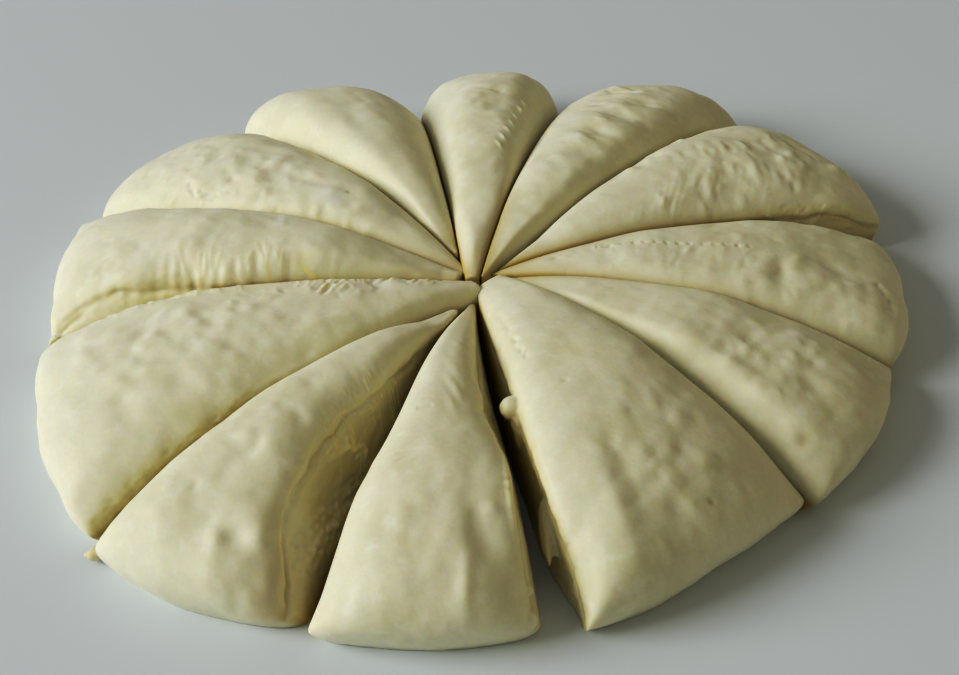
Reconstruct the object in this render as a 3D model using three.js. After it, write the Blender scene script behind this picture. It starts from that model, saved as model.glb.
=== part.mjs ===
// A round of raw bread dough, cut right through into twelve wedges that still lie together.
// Units are millimetres and degrees. +Z is up and the dough stands on the plane z = 0.
// The origin is the middle of the round, on the surface that it lies on.
// Plan angles are counter-clockwise from +X, about the point where the cuts cross.

import * as THREE from 'three';
import { mergeVertices } from 'three/addons/utils/BufferGeometryUtils.js';

// Where the cuts cross: a little off the middle of the round
const CUT_CENTRE = { x: 0.6, y: -7.5 };

// Half of the gap left between two wedges whose cut faces still touch
const HALF_GAP = 0.2;

// How quickly an open cut widens on its way out to the rim
const OPENING_POWER = 1.5;

// Where a wedge's top starts to roll over to the rim, as a share of its reach
const ROLL_START = 0.42;

// Height of the widest line round the rim, in the middle of a wedge and at its corners,
// and how far the foot stands in below it
const SHOULDER_HEIGHT = 12;
const CORNER_HEIGHT = 4;
const FOOT_TUCK = 4;

// The skin of a narrow stretch is flatter: the lobe is full from this width on
const FULL_LOBE_WIDTH = 40;

// Grid of each wedge: steps along it, across it and up its walls
const STEPS_ALONG = 16;
const STEPS_ACROSS = 8;
const STEPS_UP = 3;

// Corners of the grid closer together than this share one vertex, in grid lengths
const MERGE_DISTANCE = 1e-5;

// The cuts, clockwise from the far side. shift: how far the straight cut passes from the
// crossing, on its counter-clockwise side. open: how far the wedges on its clockwise side
// and its counter-clockwise side stand back from it at the rim.
const CUTS = [
  { angle: 97.7, shift: 4.1, open: [0, 0] },
  { angle: 77, shift: 0, open: [0, 0] },
  { angle: 51, shift: 0, open: [0, 0] },
  { angle: 20.5, shift: 4.5, open: [0, 0] },
  { angle: -10, shift: 6, open: [0, 0] },
  { angle: -42.5, shift: 9.5, open: [0, 0] },
  { angle: -80, shift: -1.5, open: [4, 9] },
  { angle: -110.8, shift: 0, open: [2.5, 2.5] },
  { angle: -141, shift: 6, open: [3, 1] },
  { angle: -177.2, shift: 0, open: [0, 0] },
  { angle: -202.5, shift: -4, open: [0, 0] },
  { angle: -231, shift: -4.5, open: [0, 0] },
];

// The wedges in the same order, each between the cut of its own place and the next one.
// tip: radius and height of the inner end. crown: greatest height. ridge: where the crown
// runs, from -1 at the clockwise cut face to 1 at the other. reach: from the crossing to the
// rim at the clockwise corner, in the middle and at the other corner. edge: height of the
// skin along the two cut faces where the wedge is highest. lean: how far the top of each cut
// face stands back from its foot at the rim.
const WEDGES = [
  { tip: [4, 28], crown: 39, ridge: -0.1, reach: [148, 156, 142], edge: [28, 27], lean: [0, 0] },
  { tip: [8, 28], crown: 40, ridge: 0.1, reach: [162, 160, 147], edge: [27, 29], lean: [0, 0] },
  { tip: [12, 28], crown: 39, ridge: 0, reach: [155, 159, 160], edge: [29, 28], lean: [0, 0] },
  { tip: [12, 28], crown: 36, ridge: -0.3, reach: [138, 147, 150], edge: [30, 27], lean: [0, 0] },
  { tip: [13.5, 28], crown: 36, ridge: -0.55, reach: [125, 133, 138], edge: [28, 27], lean: [0, 0] },
  { tip: [3, 30], crown: 42, ridge: -0.3, reach: [135, 131, 125], edge: [31, 29], lean: [2, 0] },
  { tip: [13, 30], crown: 40, ridge: 0.2, reach: [143, 140, 133], edge: [26, 33], lean: [2, 0] },
  { tip: [23, 30], crown: 41, ridge: 0, reach: [154, 150, 141], edge: [29, 33], lean: [0, 5] },
  { tip: [6, 29], crown: 38, ridge: 0.1, reach: [145, 149, 152], edge: [24, 29], lean: [0, 2] },
  { tip: [7.5, 29], crown: 41, ridge: 0.1, reach: [152, 150, 144], edge: [29, 35], lean: [0, 0] },
  { tip: [15.5, 29], crown: 40, ridge: 0, reach: [148, 153, 152], edge: [30, 30], lean: [0, 0] },
  { tip: [19, 29], crown: 40, ridge: 0, reach: [140, 155, 154], edge: [28, 29], lean: [0, 0] },
];

const DOUGH = new THREE.MeshStandardMaterial({ color: 0xe3dab8, roughness: 0.55, metalness: 0 });

const QUARTER_TURN = Math.PI / 2;

// Smooth value across a wedge, from -1 to 1, through its two side values and its middle one
function across([first, middle, last], side) {
  const slope = (last - first) / 2;
  const bend = (first + last) / 2 - middle;
  return middle + slope * side + bend * side ** 4;
}

// Radius, lift from the tip and roll to the rim, for a place from 0 at the tip to 1
function lengthwise(wedge, reach, along) {
  const tipRadius = wedge.tip[0];
  const rollRadius = reach * ROLL_START;
  if (along < ROLL_START) {
    const rise = along / ROLL_START;
    return {
      radius: tipRadius + (rollRadius - tipRadius) * rise,
      lift: Math.sin(rise * QUARTER_TURN),
      level: 1,
    };
  }
  const turn = ((along - ROLL_START) / (1 - ROLL_START)) * QUARTER_TURN;
  return {
    radius: rollRadius + (reach - rollRadius) * Math.sin(turn),
    lift: 1,
    level: Math.cos(turn),
  };
}

// Direction of a plan angle
function direction(angle) {
  return new THREE.Vector2(Math.cos(angle), Math.sin(angle));
}

// A point of a wedge's surface, from its place across (-1 to 1), along and up (0 to 1)
function wedgePoint(wedge, startCut, endCut, sideways, along, up) {
  const turn = sideways * QUARTER_TURN;
  const side = Math.sin(turn);
  const { radius, lift, level } = lengthwise(wedge, across(wedge.reach, side), along);

  const start = THREE.MathUtils.degToRad(startCut.angle);
  const end = THREE.MathUtils.degToRad(endCut.angle);
  const angle = THREE.MathUtils.mapLinear(side, -1, 1, start, end);
  const width = radius * (end - start) + endCut.shift - startCut.shift;

  const lobe = Math.min(1, Math.max(0, width / FULL_LOBE_WIDTH));
  const flank = side < wedge.ridge ? 0 : 1;
  const edge = wedge.crown - (wedge.crown - wedge.edge[flank]) * lobe;
  const fromRidge = (side - wedge.ridge) / (flank === 0 ? 1 + wedge.ridge : 1 - wedge.ridge);
  const crest = edge + (wedge.crown - edge) * Math.sqrt(1 - Math.min(1, fromRidge ** 2));
  const shoulder = across([CORNER_HEIGHT, SHOULDER_HEIGHT, CORNER_HEIGHT], side);
  const settled = wedge.tip[1] / wedge.crown;
  const inner = crest * (settled + (1 - settled) * lift);
  const top = shoulder + (inner - shoulder) * level;

  const tuck = FOOT_TUCK * (1 - up) ** 2 * along;
  const plan = direction(angle).multiplyScalar(radius - tuck);

  // The straight cuts pass beside the crossing, and the faces stand back from them
  const widening = along ** OPENING_POWER;
  const startBack = HALF_GAP + startCut.open[1] * widening + wedge.lean[0] * up * along;
  const endBack = HALF_GAP + endCut.open[0] * widening + wedge.lean[1] * up * along;
  const startMove = direction(start + QUARTER_TURN).multiplyScalar(startCut.shift + startBack);
  const endMove = direction(end + QUARTER_TURN).multiplyScalar(endCut.shift - endBack);
  plan.add(startMove.lerp(endMove, (side + 1) / 2));
  return new THREE.Vector3(plan.x, plan.y, top * up);
}

// One wedge: a box's grid bent to the shape of the wedge
function wedgeGeometry(wedge, startCut, endCut) {
  const box = new THREE.BoxGeometry(1, 1, 1, STEPS_ALONG, STEPS_ACROSS, STEPS_UP);
  box.deleteAttribute('normal');
  box.deleteAttribute('uv');
  const geometry = mergeVertices(box, MERGE_DISTANCE);
  const places = geometry.attributes.position;
  for (let i = 0; i < places.count; i += 1) {
    const sideways = places.getY(i) * 2;
    const along = places.getX(i) + 0.5;
    const up = places.getZ(i) + 0.5;
    const point = wedgePoint(wedge, startCut, endCut, sideways, along, up);
    places.setXYZ(i, point.x, point.y, point.z);
  }
  geometry.computeVertexNormals();
  return geometry;
}

const round = new THREE.Group();
round.position.set(CUT_CENTRE.x, CUT_CENTRE.y, 0);

// The last wedge closes the round, so its next cut is the first one again, a full turn on
const closing = { ...CUTS[0], angle: CUTS[0].angle - 360 };
WEDGES.forEach((wedge, index) => {
  const startCut = index + 1 < CUTS.length ? CUTS[index + 1] : closing;
  const geometry = wedgeGeometry(wedge, startCut, CUTS[index]);
  const mesh = new THREE.Mesh(geometry, DOUGH.clone());
  mesh.name = `wedge_${String(index + 1).padStart(2, '0')}`;
  round.add(mesh);
});

export default round;
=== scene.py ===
"""Looks of a round of raw bread dough, cut from its middle into twelve wedges.

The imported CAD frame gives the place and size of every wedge. Each wedge is built here again as
one closed piece: a block is drawn out into the wedge's form, remeshed evenly, and then worked
like clay, with swells, dents, folds, rows of pits and torn edges. Sizes are in millimetres until
a piece is finished, and angles are in degrees, anticlockwise from the right.
"""

import logging
import math
from abc import ABC, abstractmethod
from dataclasses import dataclass, field, replace
from enum import Enum

import bmesh
import bpy
import numpy as np
from mathutils import Matrix, Vector


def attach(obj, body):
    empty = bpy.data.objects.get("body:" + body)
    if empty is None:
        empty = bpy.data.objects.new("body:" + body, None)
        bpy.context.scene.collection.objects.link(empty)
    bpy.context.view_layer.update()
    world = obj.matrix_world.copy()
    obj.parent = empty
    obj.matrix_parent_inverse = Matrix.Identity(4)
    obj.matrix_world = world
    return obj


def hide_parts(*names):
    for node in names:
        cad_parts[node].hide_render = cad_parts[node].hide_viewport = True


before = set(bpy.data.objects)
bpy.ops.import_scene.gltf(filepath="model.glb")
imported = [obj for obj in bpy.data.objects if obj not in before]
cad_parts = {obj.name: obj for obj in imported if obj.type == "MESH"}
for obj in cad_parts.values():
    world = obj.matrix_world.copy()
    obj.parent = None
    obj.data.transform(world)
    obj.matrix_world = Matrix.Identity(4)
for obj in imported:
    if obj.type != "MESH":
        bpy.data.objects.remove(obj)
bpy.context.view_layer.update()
LOG = logging.getLogger("dough")

MILLIMETRE = 0.001
# Where the cuts cross, and half of the gap between two wedges that still touch
CROSSING = np.array([0.6, -7.5, 0.0])
HALF_GAP = 0.2
# Where a back starts to roll over to the rim, as a share of the reach, and the form of the rim
ROLL_START = 0.42
SHOULDER_HEIGHT = 12.0
FOOT_TUCK = 5.0
# How far the corners of a wedge are rounded off, and how close to its sides that starts
CORNER_ROUNDING = 2.6
CORNER_SHARPNESS = 14
# How softly the flanks meet on the back, and how much rounder they get towards the rim
RIDGE_SOFTNESS = 0.34
RIM_FULLNESS = 0.4
# How far a back rises above its skin edges for each millimetre of its width, up to a wide one
NARROW_CROWN = 0.16
WIDE_BACK = 30.0
# How far below the ground a wedge is drawn before it is cut off flat
UNDERCUT = 1.6
# The size of the even faces, and how often they are smoothed
VOXEL = 0.6
SMOOTHINGS = 3
# How many half widths round a small mark get a finer mesh, and the widths from which none do
FINE_REACH = 2.2
WIDE_FOLD = 1.4
WIDE_DAB = 2.0
# How many sides and steps a torn thread has, and how many half widths round it are moist
STRAND_SIDES = 8
STRAND_STEPS = 10
STRAND_REACH = 2.2
# How many waves make up unrest, and how short and long they are as shares of its wavelength
WAVES = 28
WAVE_SPREAD = (0.75, 1.4)
# The wavelengths and first seeds of the long, middle and short swells of the skin
SWELLS = ((38.0, 10), (15.0, 40), (6.5, 70))
# The heights, wavelengths and first seeds of the tears in a torn face
TEARS = ((0.34, 7.5, 130), (0.16, 3.2, 160))
# How far the hem of a torn face lies below its skin edge, its half width, depth and first seed; the hem is
# dented, and also darkened by a painted shadow line
HEM_BELOW = 1.6
HEM_WIDTH = 1.3
HEM_DEPTH = 0.8
HEM_SEED = 190
# How far from a cut its painted shade reaches over the skin, and how far the darker painted line in it
SHADE_REACH = 7.0
LINE_REACH = 3.4

Place = tuple[float, float]
Colour = tuple[float, float, float]
Socket = bpy.types.NodeSocket


def heading(angle: float | np.ndarray) -> np.ndarray:
    """Gives the flat unit vector that points along an angle."""
    turn = np.radians(angle)
    return np.stack([np.cos(turn), np.sin(turn)], axis=-1)


def spot(place: Place) -> np.ndarray:
    """Gives the flat point at a distance from the crossing and an angle."""
    return heading(place[1]) * place[0]


def unrest(points: np.ndarray, wavelength: float, seed: int) -> np.ndarray:
    """Makes smooth, even unrest from plane waves that cross in every direction.

    Args:
        points: Where to measure it.
        wavelength: The usual distance from swell to swell.
        seed: Which pattern of its kind.

    Returns:
        Values about 0, mostly between -2 and 2.
    """
    draw = np.random.default_rng(seed)
    directions = draw.normal(size=(WAVES, 3))
    directions /= np.linalg.norm(directions, axis=1)[:, None]
    lengths = wavelength * draw.uniform(*WAVE_SPREAD, WAVES)
    phases = draw.uniform(0, 2 * math.pi, WAVES)
    turns = points @ (directions * (2 * math.pi / lengths)[:, None]).T + phases
    return np.cos(turns).sum(axis=1) / math.sqrt(WAVES / 2)


def fade(values: np.ndarray, start: float, end: float | np.ndarray) -> np.ndarray:
    """Goes smoothly from 0 where values reach start to 1 where they reach end."""
    share = np.clip((values - start) / (end - start), 0.0, 1.0)
    return share * share * (3 - 2 * share)


def oval(points: np.ndarray, middle: np.ndarray, size: Place,
         turn: float) -> tuple[np.ndarray, np.ndarray]:
    """Measures where points lie in an oval.

    Args:
        points: The points.
        middle: The middle of the oval.
        size: Its half length and half width.
        turn: Where its length points.

    Returns:
        The places along and across it, in half lengths and half widths.
    """
    away = points[:, :2] - middle
    return away @ heading(turn) / size[0], away @ heading(turn + 90) / size[1]


def leg_distance(points: np.ndarray, start: np.ndarray, run: np.ndarray) -> tuple[np.ndarray, np.ndarray]:
    """Measures how far points are from a straight leg, and at which share of it they are nearest."""
    part = np.clip((points - start) @ run / (run @ run), 0, 1)
    return np.linalg.norm(points - start - part[:, None] * run, axis=1), part


def line_distance(flat: np.ndarray, path: tuple[Place, ...]) -> tuple[np.ndarray, np.ndarray]:
    """Measures how far flat points are from a line.

    Args:
        flat: The points.
        path: The places that the line runs through.

    Returns:
        The distances, and how far along the line they are nearest, from 0 to 1.
    """
    near = np.full(len(flat), np.inf)
    share = np.zeros(len(flat))
    legs = list(zip(path[:-1], path[1:]))
    for index, (first, last) in enumerate(legs):
        away, part = leg_distance(flat, spot(first), spot(last) - spot(first))
        closer = away < near
        near = np.where(closer, away, near)
        share = np.where(closer, (index + part) / len(legs), share)
    return near, share


def read_vectors(items: bpy.types.bpy_prop_collection, name: str) -> np.ndarray:
    """Reads one vector for each item of a mesh."""
    flat = np.empty(len(items) * 3, np.float32)
    items.foreach_get(name, flat)
    return flat.reshape(-1, 3).astype(float)


def put_in_scene(name: str, data: bpy.types.ID) -> bpy.types.Object:
    """Makes an object and links it into the scene."""
    made = bpy.data.objects.new(name, data)
    bpy.context.scene.collection.objects.link(made)
    return made


@dataclass(frozen=True)
class Profile:
    """A measure that changes with the distance from the crossing.

    Args:
        points: The distances, and the measure at each of them.
        softness: How far its bends are rounded.
    """

    points: tuple[Place, ...]
    softness: float = 6.0

    def at(self, distance: np.ndarray) -> np.ndarray:
        """Reads the measure at each distance."""
        places, values = zip(*self.points)
        steps = (-1.0, -0.5, 0.0, 0.5, 1.0)
        read = [np.interp(distance + step * self.softness, places, values) for step in steps]
        return sum(read) / len(steps)


NOTHING = Profile(((0.0, 0.0),))


@dataclass(frozen=True)
class CutFace:
    """How one wedge stands along a cut.

    Args:
        edge: How high its skin edge lies.
        back: How far its foot stands back from the cut.
        lean: How much farther back its skin edge stands.
        bulge: How the face bends between foot and skin edge: 1 is straight, 2 bulges out.
        torn: How torn the face is, from 0 where skin has rolled over it to 1.
    """

    edge: Profile
    back: Profile = NOTHING
    lean: Profile = NOTHING
    bulge: float = 1.0
    torn: Profile = NOTHING

    def set_back(self, out: np.ndarray, up: np.ndarray) -> np.ndarray:
        """Tells how far it stands back from the cut at a distance and a share of its height."""
        return self.back.at(out) + self.lean.at(out) * up**self.bulge

    def stands_back(self, out: np.ndarray, height: np.ndarray) -> np.ndarray:
        """Tells how far it stands back from the cut at a distance and a height."""
        return self.set_back(out, np.clip(height / np.maximum(self.edge.at(out), 1), 0, 1))


@dataclass(frozen=True)
class Cut:
    """One straight cut from the middle to the rim.

    Args:
        angle: Where it points.
        shift: How far it lies off the line through the crossing, anticlockwise.
        before: How the wedge on its clockwise side stands along it.
        after: The same for the wedge on the other side.
    """

    angle: float
    shift: float
    before: CutFace
    after: CutFace

    @classmethod
    def closed(cls, angle: float, shift: float, *edge: Place) -> "Cut":
        """Makes a cut whose two sides are the same, with one skin edge."""
        face = CutFace(Profile(edge))
        return cls(angle, shift, face, face)


@dataclass(frozen=True)
class WedgeForm:
    """The main measures of one wedge.

    Args:
        tip: The radius and height of its tip.
        crown: The height of its back.
        ridge: Where the back lies across it at the tip and at the rim, from -1 to 1.
        reach: How far it reaches from the crossing at its clockwise side, middle and other side.
        fall: How each flank falls from the back, from 1.2, like a roof, to 2, like a pillow.
        fullness: How full the rim is: 2 is round, and more is blunter.
    """

    tip: Place
    crown: float
    ridge: Place
    reach: tuple[float, float, float]
    fall: Place = (1.7, 1.7)
    fullness: float = 2.0

    def reach_at(self, side: np.ndarray) -> np.ndarray:
        """Gives how far the wedge reaches at places across it, from -1 to 1."""
        first, middle, last = self.reach
        even = middle + (last - first) / 2 * side + ((first + last) / 2 - middle) * side**4
        return even - CORNER_ROUNDING * side**CORNER_SHARPNESS


class CutSide(Enum):
    """The two cut faces of a wedge, with 1 where the wedge lies anticlockwise of the cut."""

    CLOCKWISE = 1.0
    ANTICLOCKWISE = -1.0


class Tint(Enum):
    """What colour a mark leaves on the dough besides its shape; the pale one is partly a painted highlight,
    the brown one partly painted shade.
    """

    MOIST = "moist"
    # A pale bluish white, partly a painted highlight on glossy spots
    PALE_AND_SHEEN = "pale"
    # Dark brown specks, and partly painted shade in dents and low on cut faces
    BROWN = "brown"


@dataclass(frozen=True, kw_only=True)
class Mark(ABC):
    """Something that the skin has been through: it raises, lowers or tints the skin at a place.

    Args:
        tint: What colour it leaves on the dough besides its shape, painted highlight and painted shade
            among them.
        stain: How strongly it tints.
    """

    tint: Tint | None = None
    stain: float = 0.0

    @abstractmethod
    def cover(self, surface: "Surface") -> np.ndarray:
        """Tells how much of the mark each point of the skin takes."""

    @abstractmethod
    def relief(self, surface: "Surface") -> np.ndarray:
        """Gives how far each point of the skin moves out."""

    def fine(self, surface: "Surface") -> np.ndarray:
        """Tells which points need a finer mesh to show it."""
        return np.zeros(len(surface.points), bool)


class RaisedMark(Mark):
    """A mark that moves the skin out by its height wherever it covers it."""

    height: float

    def relief(self, surface: "Surface") -> np.ndarray:
        """Gives how far each point of the skin moves out."""
        return self.height * self.cover(surface)


@dataclass(frozen=True)
class Dab(RaisedMark):
    """A soft rise or hollow.

    Args:
        at: Its distance from the crossing and its angle.
        size: Its half length and half width.
        height: How far it rises, or how deep it is where that is negative.
        turn: Where its length points.
    """

    at: Place
    size: Place
    height: float
    turn: float = 0.0

    def cover(self, surface: "Surface") -> np.ndarray:
        """Tells how much of the mark each point of the skin takes."""
        length, width = oval(surface.points, spot(self.at), self.size, self.turn)
        return np.exp(-(length**2) - width**2)

    def fine(self, surface: "Surface") -> np.ndarray:
        """Tells which points need a finer mesh to show it."""
        return (self.cover(surface) > 0.08) & (min(self.size) < WIDE_DAB)


@dataclass(frozen=True)
class Fold(RaisedMark):
    """A crease or a raised line that runs from place to place.

    Args:
        path: The places that it runs through.
        width: Its half width.
        height: How far it rises, or how deep it is where that is negative.
        ragged: How uneven it is, as a share of its height.
        seed: Which unevenness.
    """

    path: tuple[Place, ...]
    width: float
    height: float
    ragged: float = 0.25
    seed: int = 1

    def cover(self, surface: "Surface") -> np.ndarray:
        """Tells how much of the mark each point of the skin takes."""
        near, share = line_distance(surface.points[:, :2], self.path)
        taper = fade(share, 0.0, 0.15) * (1 - fade(share, 0.85, 1.0))
        uneven = np.maximum(1 + self.ragged * unrest(surface.points, 3.4, self.seed), 0.0)
        return np.exp(-((near / self.width) ** 2)) * taper * uneven

    def fine(self, surface: "Surface") -> np.ndarray:
        """Tells which points need a finer mesh to show it."""
        if self.width > WIDE_FOLD:
            return super().fine(surface)
        return line_distance(surface.points[:, :2], self.path)[0] < FINE_REACH * self.width


@dataclass(frozen=True)
class PitRow(Mark):
    """A row of small pits pressed into the skin, with low rims beside them.

    Args:
        path: Where the row starts and ends.
        count: How many pits it has.
        size: The half length and half width of a pit.
        depth: How deep a pit is.
        turn: Where the length of a pit points.
        rim: How high the rim beside each pit stands, as a share of the depth.
        seed: Which unevenness.
    """

    path: tuple[Place, Place]
    count: int
    size: Place = (1.1, 0.55)
    depth: float = 0.4
    turn: float = 0.0
    rim: float = 0.4
    seed: int = 1

    def pits(self, surface: "Surface") -> tuple[np.ndarray, np.ndarray]:
        """Adds up the pits, and the rims beside them."""
        draw = np.random.default_rng(self.seed)
        start, run = spot(self.path[0]), spot(self.path[1]) - spot(self.path[0])
        pits = np.zeros(len(surface.points))
        rims = np.zeros(len(surface.points))
        for index in range(self.count):
            share = (index + draw.uniform(-0.12, 0.12)) / max(self.count - 1, 1)
            turn = self.turn + draw.uniform(-12, 12)
            strength = draw.uniform(0.6, 1.15)
            length, width = oval(surface.points, start + share * run, self.size, turn)
            pits += np.exp(-(length**2) - width**2) * strength
            rims += np.exp(-((length / 1.2) ** 2) - (width - 1.8) ** 2) * strength
        return pits, rims

    def cover(self, surface: "Surface") -> np.ndarray:
        """Tells how much of the mark each point of the skin takes."""
        return self.pits(surface)[0]

    def relief(self, surface: "Surface") -> np.ndarray:
        """Gives how far each point of the skin moves out."""
        pits, rims = self.pits(surface)
        return (self.rim * rims - pits) * self.depth

    def fine(self, surface: "Surface") -> np.ndarray:
        """Tells which points need a finer mesh to show it."""
        return line_distance(surface.points[:, :2], self.path)[0] < FINE_REACH * self.size[0]


@dataclass(frozen=True)
class Streaks(Mark):
    """Long shallow furrows dragged over the skin.

    Args:
        at: The middle of the dragged skin.
        size: The half length and half width of that skin.
        turn: Where the length of that skin points.
        run: Where the furrows point.
        pitch: How far it is from furrow to furrow.
        height: How high they stand.
        seed: Which unevenness.
    """

    at: Place
    size: Place
    turn: float
    run: float
    pitch: float
    height: float
    seed: int = 1

    def cover(self, surface: "Surface") -> np.ndarray:
        """Tells how much of the mark each point of the skin takes."""
        length, width = oval(surface.points, spot(self.at), self.size, self.turn)
        return np.exp(-((length**2 + width**2) ** 2))

    def relief(self, surface: "Surface") -> np.ndarray:
        """Gives how far each point of the skin moves out."""
        flat = surface.points[:, :2]
        drift = 1.2 * unrest(surface.points, 30, self.seed + 1)
        rows = [flat @ heading(self.run) / 6, flat @ heading(self.run + 90) + drift]
        rows = np.column_stack([*rows, surface.points[:, 2] / 7])
        patches = np.maximum(0.8 + 0.6 * unrest(surface.points, 16, self.seed + 2), 0.0)
        return self.height * self.cover(surface) * patches * unrest(rows, self.pitch, self.seed)


@dataclass(frozen=True)
class Blisters(RaisedMark):
    """Small bubbles and dents in the skin.

    Args:
        at: The middle of the blistered skin.
        size: The half length and half width of that skin.
        turn: Where its length points.
        count: How many there are.
        width: The half widths of the smallest and the largest.
        height: How high the largest stands.
        seed: Where they sit.
        run: Where their lengths point; anywhere where it is not given.
        slender: The shares of their length that the narrowest and the roundest are wide.
    """

    at: Place
    size: Place
    turn: float
    count: int
    width: Place = (1.0, 2.8)
    height: float = 0.4
    seed: int = 1
    run: float | None = None
    slender: Place = (0.6, 1.0)

    def cover(self, surface: "Surface") -> np.ndarray:
        """Tells how much of the mark each point of the skin takes."""
        draw = np.random.default_rng(self.seed)
        total = np.zeros(len(surface.points))
        for _ in range(self.count):
            move = draw.normal(size=2) * np.array(self.size) * 0.6
            middle = spot(self.at) + heading(self.turn) * move[0] + heading(self.turn + 90) * move[1]
            wide = draw.uniform(*self.width)
            stretch = draw.uniform(*self.slender)
            turn = draw.uniform(0, 180) if self.run is None else self.run + draw.uniform(-20, 20)
            share = wide / self.width[1] * draw.choice([1.0, 0.8, -0.7, -0.9])
            length, across = oval(surface.points, middle, (wide, wide * stretch), turn)
            total += share * np.exp(-(length**2) - across**2)
        return total


@dataclass(frozen=True)
class Lump:
    """A scrap of dough that hangs on a wedge.

    Args:
        at: The distance and angle of its middle.
        height: How high that lies.
        size: Its half length, half width and half height.
        turn: Where its length points.
        tilt: How steeply its length rises.
    """

    at: Place
    height: float
    size: tuple[float, float, float]
    turn: float = 0.0
    tilt: float = 0.0

    def add(self, cells: bmesh.types.BMesh) -> None:
        """Adds it to a mesh as a closed, rounded body."""
        placed = Matrix.Translation((*spot(self.at), self.height))
        turned = Matrix.Rotation(math.radians(self.turn), 4, "Z")
        tilted = Matrix.Rotation(math.radians(-self.tilt), 4, "Y")
        matrix = placed @ turned @ tilted @ Matrix.Diagonal((*self.size, 1))
        bmesh.ops.create_icosphere(cells, subdivisions=3, radius=1.0, matrix=matrix)


@dataclass(frozen=True)
class Strand:
    """A thin thread of torn dough.

    Args:
        path: Its bends, as distance from the crossing, angle and height.
        width: Its half width in the middle.
    """

    path: tuple[tuple[float, float, float], ...]
    width: float = 0.7

    def route(self) -> np.ndarray:
        """Gives the points that it runs through."""
        return np.array([(*spot((distance, angle)), height) for distance, angle, height in self.path])

    def add(self, cells: bmesh.types.BMesh) -> None:
        """Adds it to a mesh as a closed tube with tapered ends."""
        points_before, edges_before = len(cells.verts), len(cells.edges)
        bmesh.ops.create_cone(
            cells, cap_ends=True, segments=STRAND_SIDES, radius1=1.0, radius2=1.0, depth=2.0
        )
        cells.edges.ensure_lookup_table()
        long_edges = []
        for edge in cells.edges[edges_before:]:
            if abs(edge.verts[0].co.z - edge.verts[1].co.z) > 1.0:
                long_edges.append(edge)
        bmesh.ops.subdivide_edges(cells, edges=long_edges, cuts=STRAND_STEPS - 1, use_grid_fill=True)
        cells.verts.ensure_lookup_table()
        route = self.route()
        stops = np.linspace(0, 1, len(route))
        for vert in cells.verts[points_before:]:
            share = (vert.co.z + 1) / 2
            middle, ahead, behind = (
                [np.interp(place, stops, route[:, axis]) for axis in range(3)]
                for place in (share, min(share + 0.1, 1), max(share - 0.1, 0))
            )
            turned = (Vector(ahead) - Vector(behind)).to_track_quat("Z", "Y")
            wide = self.width * (0.75 + 0.25 * math.sin(math.pi * share))
            vert.co = Vector(middle) + turned @ Vector((vert.co.x * wide, vert.co.y * wide, 0))

    def cover(self, points: np.ndarray) -> np.ndarray:
        """Tells which points belong to it."""
        route = self.route()
        near = np.full(len(points), np.inf)
        for start, end in zip(route[:-1], route[1:]):
            near = np.minimum(near, leg_distance(points, start, end - start)[0])
        return 1 - fade(near, self.width, STRAND_REACH * self.width)


@dataclass(frozen=True)
class Fibres(RaisedMark):
    """Short torn fibres that lie on the skin along a line.

    Args:
        path: The places that the line runs through.
        count: How many fibres it has.
        length: How long the shortest and the longest are.
        turn: Where they point.
        height: How high they stand.
        width: Their half width.
        spread: How far they stray from the line.
        seed: Where they sit.
    """

    path: tuple[Place, ...]
    count: int
    length: Place
    turn: float
    height: float = 0.3
    width: float = 0.38
    spread: float = 1.0
    seed: int = 1

    def cover(self, surface: "Surface") -> np.ndarray:
        """Tells how much of the mark each point of the skin takes."""
        draw = np.random.default_rng(self.seed)
        flat = surface.points[:, :2]
        route = np.array([spot(place) for place in self.path])
        stops = np.linspace(0, 1, len(route))
        total = np.zeros(len(flat))
        for _ in range(self.count):
            share = draw.uniform()
            base = np.array([np.interp(share, stops, route[:, axis]) for axis in range(2)])
            base += draw.normal(size=2) * self.spread
            run = heading(self.turn + draw.normal() * 12) * draw.uniform(*self.length)
            strength = draw.uniform(0.5, 1.1)
            near, part = leg_distance(flat, base, run)
            taper = 0.25 + 0.75 * np.sin(math.pi * part)
            total = np.maximum(total, np.exp(-((near / self.width) ** 2)) * strength * taper)
        return total

    def fine(self, surface: "Surface") -> np.ndarray:
        """Tells which points need a finer mesh to show it."""
        half = self.length[1] / 2
        flat = surface.points[:, :2] - heading(self.turn) * half
        return line_distance(flat, self.path)[0] < half + 1.3 * self.spread


@dataclass(frozen=True)
class Wear:
    """All that has happened to one wedge.

    Args:
        marks: What its skin has been through.
        lumps: The scraps that hang on it.
        strands: The threads that hang on it.
        swell: How uneven its skin is over long, middle and short distances.
    """

    marks: tuple[Mark, ...] = ()
    lumps: tuple[Lump, ...] = ()
    strands: tuple[Strand, ...] = ()
    swell: tuple[float, float, float] = (0.4, 0.13, 0.05)


@dataclass
class Surface:
    """The skin of a wedge while it is worked.

    Args:
        mesh: The mesh that is worked.
        wedge: The wedge that it belongs to.
    """

    mesh: bpy.types.Mesh
    wedge: "DoughWedge"
    points: np.ndarray = field(init=False)
    normals: np.ndarray = field(init=False)

    def __post_init__(self) -> None:
        """Reads the mesh."""
        self.read()

    def read(self) -> None:
        """Takes points and normals from the mesh."""
        self.points = read_vectors(self.mesh.vertices, "co")
        self.normals = read_vectors(self.mesh.vertex_normals, "vector")

    def write(self) -> None:
        """Puts the points back into the mesh and reads them again."""
        self.mesh.vertices.foreach_set("co", self.points.astype(np.float32).ravel())
        self.mesh.update()
        self.read()

    def push(self, heights: np.ndarray) -> None:
        """Moves the skin out along its normals by these heights."""
        self.points += self.normals * heights[:, None]
        self.write()

    def store(self, name: str, values: np.ndarray) -> None:
        """Keeps one value for each point under a name that the finish reads."""
        attribute = self.mesh.attributes.new(name, "FLOAT", "POINT")
        attribute.data.foreach_set("value", values.astype(np.float32))


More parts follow.
